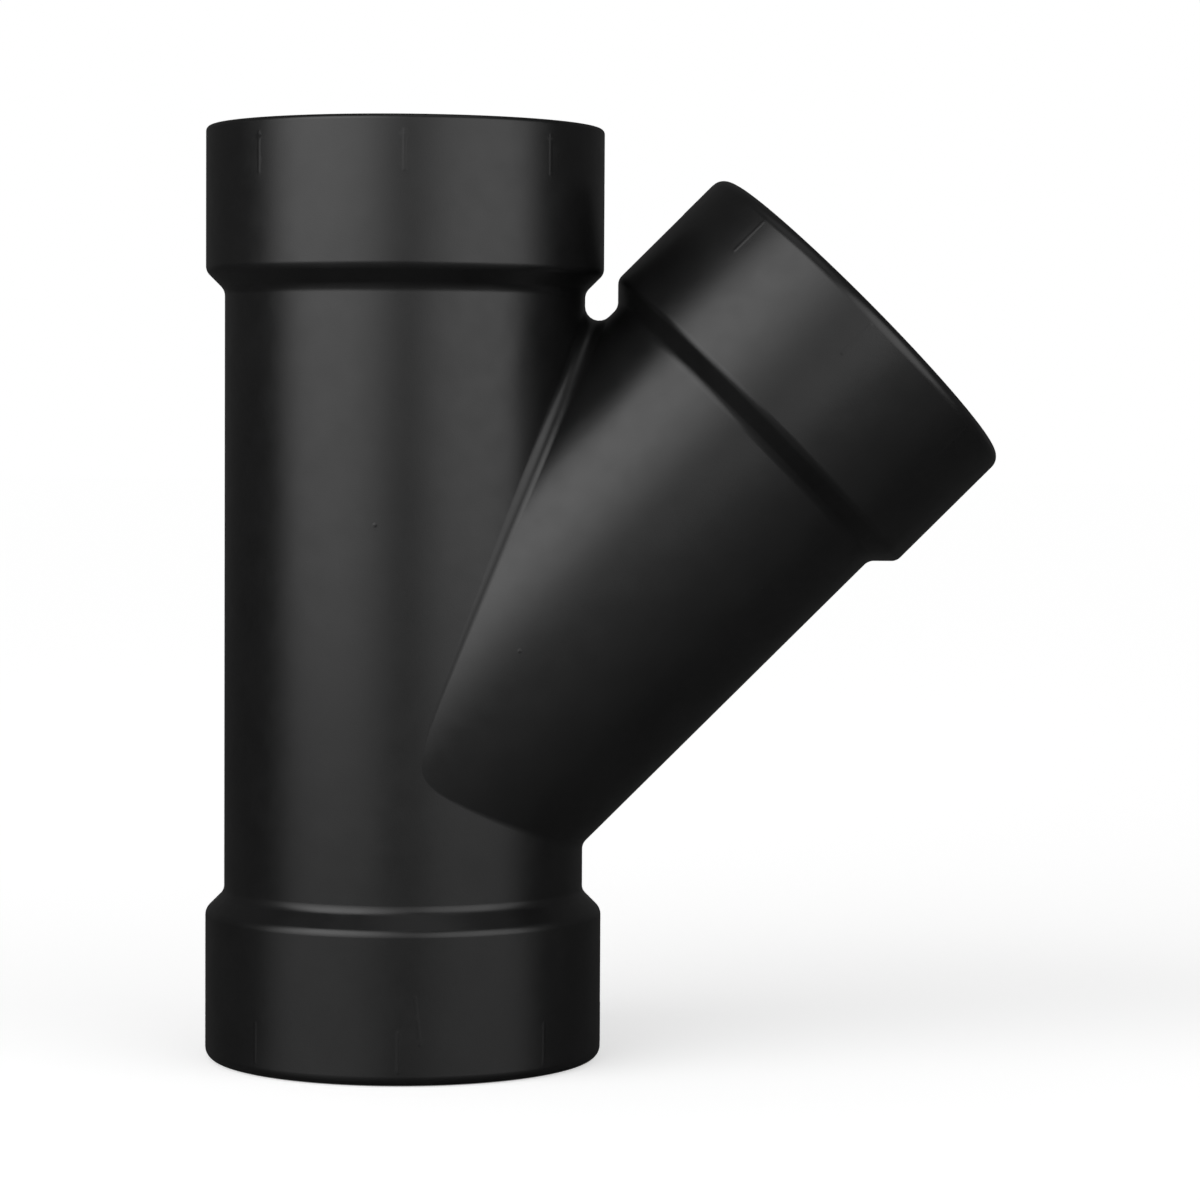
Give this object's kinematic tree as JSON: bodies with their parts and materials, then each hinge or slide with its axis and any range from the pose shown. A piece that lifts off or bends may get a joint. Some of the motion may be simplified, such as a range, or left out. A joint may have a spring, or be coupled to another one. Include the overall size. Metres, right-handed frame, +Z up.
{
  "type": "lateral wye pipe fitting",
  "caption": "Straight drain pipe run with a side branch at 45 degrees, and a socket hub on each of the openings.",
  "frame": {"origin": "centre of the lower hub's rim, on the run's axis, where the fitting stands", "axes": "+Z up along the run, +X towards the branch, which leans 45 degrees from +Z in the XZ plane; Y is across, and the fitting is symmetric about Y = 0"},
  "size_m": [0.253, 0.1274, 0.2975],
  "materials": {
    "black_plastic": "moulded black drain plastic with a soft satin sheen"
  },
  "bodies": {
    "root": {"wye_body": "black_plastic"}
  },
  "joints": []
}
